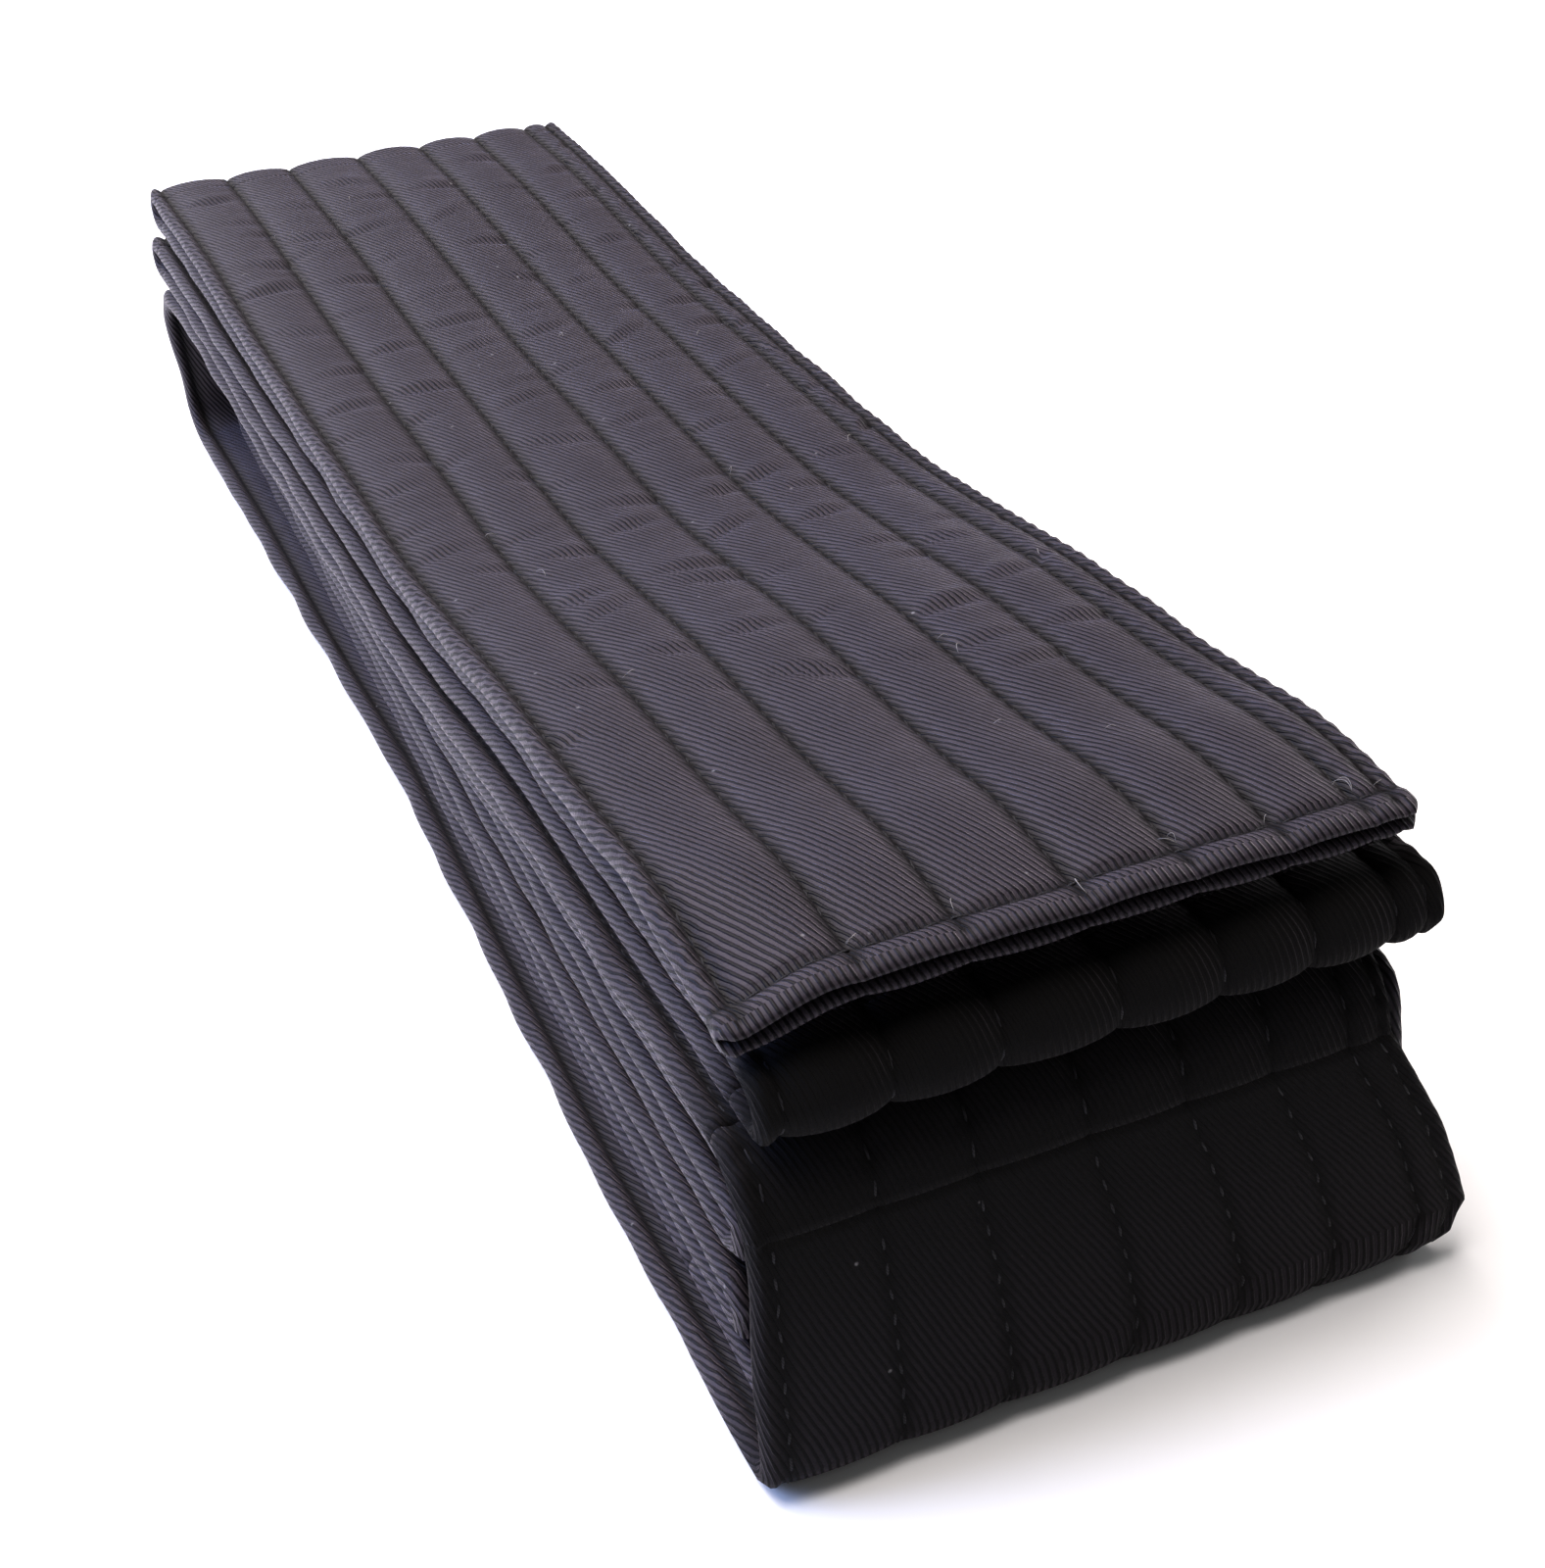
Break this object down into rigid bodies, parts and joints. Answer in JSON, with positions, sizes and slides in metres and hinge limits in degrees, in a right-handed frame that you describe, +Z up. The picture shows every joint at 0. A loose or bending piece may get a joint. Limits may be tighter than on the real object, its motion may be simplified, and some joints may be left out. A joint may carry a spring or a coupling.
{
  "type": "quilted martial arts belt",
  "caption": "Wide quilted cotton twill martial arts belt, folded flat into a long bundle, whose upper layers unfold one by one.",
  "frame": {"origin": "middle of the bundle's underside", "axes": "+X across the belt to the right of a viewer who faces the hem end, +Y along the bundle from the hem end to the far folds, +Z up"},
  "size_m": [0.0876, 0.297, 0.0602],
  "materials": {
    "cover": "matte cotton twill",
    "core": "matte layered cotton interlining",
    "thread": "slightly glossy sewing thread"
  },
  "bodies": {
    "roll": {"cover_near_face": "cover", "core_near_face": "core", "cover_layer_11": "cover", "core_layer_11": "core", "cover_far_loop": "cover", "core_far_loop": "core", "cover_layer_05": "cover", "core_layer_05": "core", "cover_inner_face": "cover", "core_inner_face": "core", "cover_layer_10": "cover", "core_layer_10": "core", "cover_fold_10_09": "cover", "core_fold_10_09": "core", "cover_layer_09": "cover", "core_layer_09": "core", "cover_fold_09_08": "cover", "core_fold_09_08": "core", "cover_layer_08": "cover", "core_layer_08": "core", "cover_fold_08_07": "cover", "core_fold_08_07": "core", "cover_layer_07": "cover", "core_layer_07": "core", "cover_fold_07_06": "cover", "core_fold_07_06": "core", "cover_layer_06": "cover", "core_layer_06": "core", "hem_hidden": "cover", "thread_hem_hidden": "thread"},
    "flap_4": {"cover_layer_04": "cover", "core_layer_04": "core", "cover_near_shoulder": "cover", "core_near_shoulder": "core"},
    "flap_3": {"cover_layer_03": "cover", "core_layer_03": "core", "cover_fold_03_04": "cover", "core_fold_03_04": "core"},
    "flap_2": {"cover_layer_02": "cover", "core_layer_02": "core", "cover_fold_02_03": "cover", "core_fold_02_03": "core"},
    "flap_1": {"cover_layer_01": "cover", "core_layer_01": "core", "cover_fold_01_02": "cover", "core_fold_01_02": "core", "hem_visible": "cover", "thread_hem_visible": "thread", "thread_row_1": "thread", "thread_row_2": "thread", "thread_row_3": "thread", "thread_row_4": "thread", "thread_row_5": "thread", "thread_row_6": "thread", "thread_row_7": "thread", "thread_row_8": "thread"}
  },
  "joints": [
    {"name": "near_fold_lower", "type": "hinge", "parent": "roll", "child": "flap_4", "pos_m": [0, -0.13887, 0.03758], "axis": [1, 0, 0], "range_deg": [0, 25], "deforming": ["cover_near_shoulder", "core_near_shoulder"]},
    {"name": "far_fold_lower", "type": "hinge", "parent": "flap_4", "child": "flap_3", "pos_m": [0, 0.14595, 0.04005], "axis": [-1, 0, 0], "range_deg": [0, 90], "deforming": ["cover_fold_03_04", "core_fold_03_04"]},
    {"name": "near_fold_upper", "type": "hinge", "parent": "flap_3", "child": "flap_2", "pos_m": [0, -0.14214, 0.04685], "axis": [1, 0, 0], "range_deg": [0, 180], "deforming": ["cover_fold_02_03", "core_fold_02_03"]},
    {"name": "far_fold_upper", "type": "hinge", "parent": "flap_2", "child": "flap_1", "pos_m": [0, 0.14595, 0.04925], "axis": [-1, 0, 0], "range_deg": [0, 180], "deforming": ["cover_fold_01_02", "core_fold_01_02"]}
  ]
}
